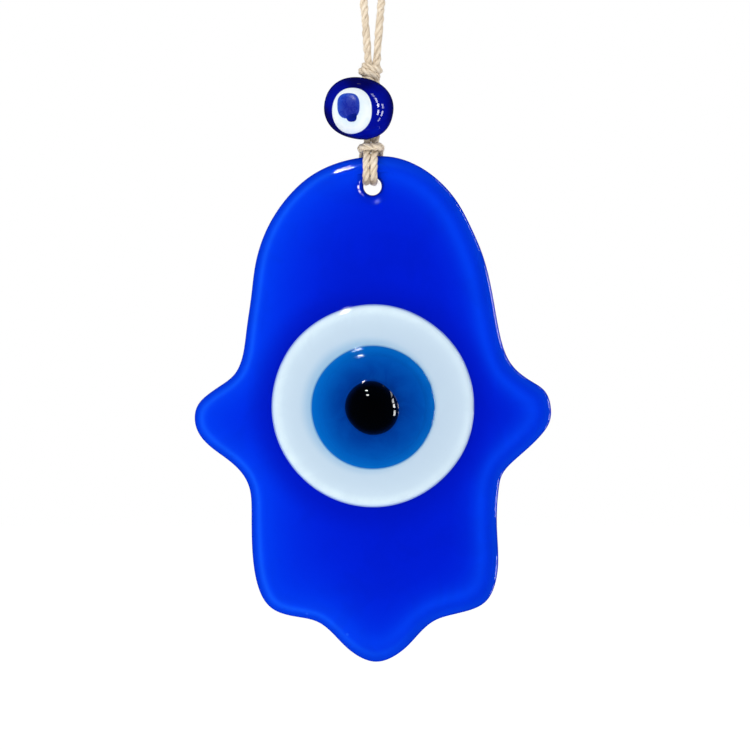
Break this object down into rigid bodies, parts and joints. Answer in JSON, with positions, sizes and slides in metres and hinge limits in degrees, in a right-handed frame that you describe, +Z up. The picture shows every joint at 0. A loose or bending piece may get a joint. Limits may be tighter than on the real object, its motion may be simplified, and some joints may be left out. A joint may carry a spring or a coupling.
{
  "type": "evil eye wall hanging",
  "caption": "Hand-shaped glass plate with a fused glass eye, hung on a knotted jute cord with a glass eye bead and a hanging loop.",
  "frame": {"origin": "centre of the round bight at the top of the hanging loop, where the nail or peg goes; the whole part hangs straight down from it along -Z", "axes": "+Z up along the plumb line of the cord, the eye faces -Y, +X to the right as seen from the front"},
  "size_m": [0.0707, 0.0151, 0.1564],
  "materials": {
    "cobalt_glass": "fire-polished cobalt blue fused glass, opaque in depth, glossy rounded rim",
    "opal_white_glass": "glossy opal white glass with a faint blue cast",
    "azure_glass": "glossy azure glass, darker towards the pupil",
    "black_glass": "glossy black glass drop",
    "bead_cobalt_glass": "glossy deep cobalt lampwork glass",
    "bead_blue_glass": "glossy mid-blue glass with darker swirls",
    "bead_navy_glass": "glossy navy glass",
    "jute_cord": "natural twisted jute twine with loose fibres"
  },
  "bodies": {
    "hanger": {"hang_loop": "jute_cord", "end_knot": "jute_cord", "cord_tails": "jute_cord"},
    "knot": {"upper_knot": "jute_cord"},
    "neck": {"bead_cord": "jute_cord"},
    "bead": {"bead_body": "bead_cobalt_glass", "bead_white": "opal_white_glass", "bead_iris": "bead_blue_glass", "bead_pupil": "bead_navy_glass"},
    "hitch": {"hitch_cord": "jute_cord"},
    "hand": {"hand_plate": "cobalt_glass", "eye_white": "opal_white_glass", "eye_iris": "azure_glass", "eye_pupil": "black_glass"}
  },
  "joints": [
    {"name": "sway", "type": "hinge", "parent": "hanger", "child": "knot", "pos_m": [0, 0, -0.03], "axis": [0, 1, 0], "range_deg": [-20, 20]},
    {"name": "cord_twist", "type": "hinge", "parent": "knot", "child": "neck", "pos_m": [0, 0, -0.03], "axis": [0, 0, 1], "range_deg": [-180, 180]},
    {"name": "bead_spin", "type": "hinge", "parent": "neck", "child": "bead", "pos_m": [0, 0, -0.0373], "axis": [0, 0, 1], "continuous": true},
    {"name": "nod", "type": "hinge", "parent": "neck", "child": "hitch", "pos_m": [0, 0, -0.0447], "axis": [1, 0, 0], "range_deg": [-12, 12]},
    {"name": "plate_swing", "type": "hinge", "parent": "hitch", "child": "hand", "pos_m": [0, 0.0007, -0.0526], "axis": [0, 1, 0], "range_deg": [-12, 12]}
  ]
}
